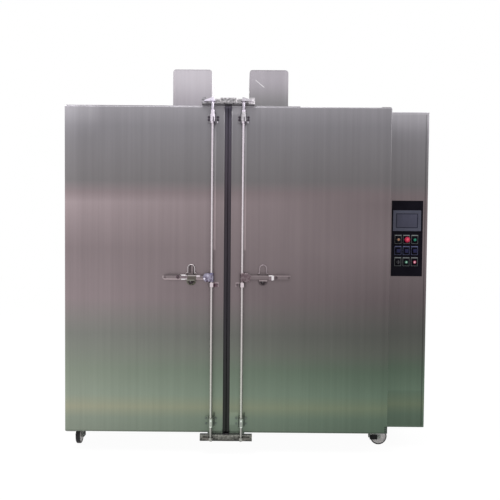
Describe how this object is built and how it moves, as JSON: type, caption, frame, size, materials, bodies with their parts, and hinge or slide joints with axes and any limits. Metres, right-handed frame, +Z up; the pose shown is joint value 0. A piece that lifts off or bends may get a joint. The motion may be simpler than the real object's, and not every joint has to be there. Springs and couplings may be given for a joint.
{
  "type": "industrial oven",
  "caption": "Insulated walk-in drying oven on braked casters, with a pair of swinging doors closed by lock rods, a control cabinet and fan motor covers.",
  "frame": {"origin": "on the floor, under the middle of the overall box", "axes": "+Z up, the doors face -Y, the control cabinet is on the +X side"},
  "size_m": [2.5852, 1.94, 2.9003],
  "materials": {
    "brushed_stainless": "vertical brushed grain",
    "liner_stainless": "smooth mill finish",
    "polished_chrome": "polished",
    "plated_steel": "zinc plated",
    "painted_grey": "matt grey sheet",
    "black_silicone": "satin",
    "caster_wheel": "matt black tread on a grey core",
    "panel_black": "satin black",
    "screen_grey": "dark glass in a grey bezel",
    "stop_red": "glossy red",
    "start_green": "glossy green",
    "button_red": "glossy red",
    "knob_black": "satin black"
  },
  "bodies": {
    "oven_body": {"floor_panel": "brushed_stainless", "left_wall": "brushed_stainless", "right_wall": "brushed_stainless", "back_wall": "brushed_stainless", "roof_panel": "brushed_stainless", "left_air_duct": "liner_stainless", "right_air_duct": "liner_stainless", "ceiling_air_duct": "liner_stainless", "door_gasket": "black_silicone", "left_motor_cover": "painted_grey", "right_motor_cover": "painted_grey", "control_cabinet": "brushed_stainless", "control_panel": "panel_black", "touch_screen": "screen_grey", "upper_keeper_beam": "brushed_stainless", "lower_keeper_beam": "brushed_stainless", "left_upper_hinge": "plated_steel", "left_lower_hinge": "plated_steel", "right_upper_hinge": "plated_steel", "right_lower_hinge": "plated_steel"},
    "left_door": {"left_door": "brushed_stainless", "left_door_seal": "black_silicone", "left_upper_rod_bearing": "plated_steel", "left_lower_rod_bearing": "plated_steel", "left_rod_guide": "plated_steel", "left_handle_catch": "plated_steel"},
    "right_door": {"right_door": "brushed_stainless", "right_door_seal": "black_silicone", "right_upper_rod_bearing": "plated_steel", "right_lower_rod_bearing": "plated_steel", "right_rod_guide": "plated_steel", "right_handle_catch": "plated_steel"},
    "left_rod": {"left_lock_rod": "polished_chrome"},
    "right_rod": {"right_lock_rod": "polished_chrome"},
    "left_handle": {"left_handle": "plated_steel"},
    "right_handle": {"right_handle": "plated_steel"},
    "left_bail": {"left_catch_bail": "polished_chrome"},
    "right_bail": {"right_catch_bail": "polished_chrome"},
    "emergency_stop": {"emergency_stop": "stop_red"},
    "start_button": {"start_button": "start_green"},
    "green_button": {"green_button": "start_green"},
    "red_button": {"red_button": "button_red"},
    "selector_switch": {"selector_switch": "knob_black"},
    "front_left_caster": {"front_left_fork": "plated_steel"},
    "front_right_caster": {"front_right_fork": "plated_steel"},
    "rear_left_caster": {"rear_left_fork": "plated_steel"},
    "rear_right_caster": {"rear_right_fork": "plated_steel"},
    "front_left_wheel": {"front_left_wheel": "caster_wheel"},
    "front_right_wheel": {"front_right_wheel": "caster_wheel"},
    "rear_left_wheel": {"rear_left_wheel": "caster_wheel"},
    "rear_right_wheel": {"rear_right_wheel": "caster_wheel"}
  },
  "joints": [
    {"name": "left_door_swing", "type": "hinge", "parent": "oven_body", "child": "left_door", "pos_m": [-1.26065, -0.8205, 0.152], "axis": [0, 0, -1], "range_deg": [0, 120]},
    {"name": "right_door_swing", "type": "hinge", "parent": "oven_body", "child": "right_door", "pos_m": [0.95535, -0.8205, 0.152], "axis": [0, 0, 1], "range_deg": [0, 120]},
    {"name": "left_rod_turn", "type": "hinge", "parent": "left_door", "child": "left_rod", "pos_m": [-0.25865, -0.948, 1.251], "axis": [0, 0, 1], "range_deg": [0, 110]},
    {"name": "right_rod_turn", "type": "hinge", "parent": "right_door", "child": "right_rod", "pos_m": [-0.04665, -0.948, 1.251], "axis": [0, 0, -1], "range_deg": [0, 110]},
    {"name": "left_handle_lift", "type": "hinge", "parent": "left_rod", "child": "left_handle", "pos_m": [-0.29265, -0.948, 1.251], "axis": [0, 1, 0], "range_deg": [0, 12]},
    {"name": "right_handle_lift", "type": "hinge", "parent": "right_rod", "child": "right_handle", "pos_m": [-0.01265, -0.948, 1.251], "axis": [0, -1, 0], "range_deg": [0, 12]},
    {"name": "left_bail_fold", "type": "hinge", "parent": "left_door", "child": "left_bail", "pos_m": [-0.40365, -0.911, 1.277], "axis": [-1, 0, 0], "range_deg": [-85, 0]},
    {"name": "right_bail_fold", "type": "hinge", "parent": "right_door", "child": "right_bail", "pos_m": [0.09835, -0.911, 1.277], "axis": [-1, 0, 0], "range_deg": [-85, 0]},
    {"name": "emergency_stop_push", "type": "slide", "parent": "oven_body", "child": "emergency_stop", "axis": [0, 1, 0], "range_m": [0, 0.005]},
    {"name": "start_button_push", "type": "slide", "parent": "oven_body", "child": "start_button", "axis": [0, 1, 0], "range_m": [0, 0.003], "stiffness_N_per_m": 200},
    {"name": "green_button_push", "type": "slide", "parent": "oven_body", "child": "green_button", "axis": [0, 1, 0], "range_m": [0, 0.003], "stiffness_N_per_m": 200},
    {"name": "red_button_push", "type": "slide", "parent": "oven_body", "child": "red_button", "axis": [0, 1, 0], "range_m": [0, 0.003], "stiffness_N_per_m": 200},
    {"name": "selector_switch_turn", "type": "hinge", "parent": "oven_body", "child": "selector_switch", "pos_m": [1.08015, -0.7333, 1.367], "axis": [0, 1, 0], "range_deg": [-45, 45]},
    {"name": "front_left_swivel", "type": "hinge", "parent": "oven_body", "child": "front_left_caster", "pos_m": [-1.24765, -0.62, 0.152], "axis": [0, 0, 1], "continuous": true},
    {"name": "front_right_swivel", "type": "hinge", "parent": "oven_body", "child": "front_right_caster", "pos_m": [0.94235, -0.62, 0.152], "axis": [0, 0, 1], "continuous": true},
    {"name": "rear_left_swivel", "type": "hinge", "parent": "oven_body", "child": "rear_left_caster", "pos_m": [-1.24765, 0.86, 0.152], "axis": [0, 0, 1], "continuous": true},
    {"name": "rear_right_swivel", "type": "hinge", "parent": "oven_body", "child": "rear_right_caster", "pos_m": [0.94235, 0.86, 0.152], "axis": [0, 0, 1], "continuous": true},
    {"name": "front_left_roll", "type": "hinge", "parent": "front_left_caster", "child": "front_left_wheel", "pos_m": [-1.24765, -0.66, 0.0625], "axis": [1, 0, 0], "continuous": true},
    {"name": "front_right_roll", "type": "hinge", "parent": "front_right_caster", "child": "front_right_wheel", "pos_m": [0.98235, -0.62, 0.0625], "axis": [0, -1, 0], "continuous": true},
    {"name": "rear_left_roll", "type": "hinge", "parent": "rear_left_caster", "child": "rear_left_wheel", "pos_m": [-1.24765, 0.9, 0.0625], "axis": [1, 0, 0], "continuous": true},
    {"name": "rear_right_roll", "type": "hinge", "parent": "rear_right_caster", "child": "rear_right_wheel", "pos_m": [0.94235, 0.9, 0.0625], "axis": [1, 0, 0], "continuous": true}
  ]
}
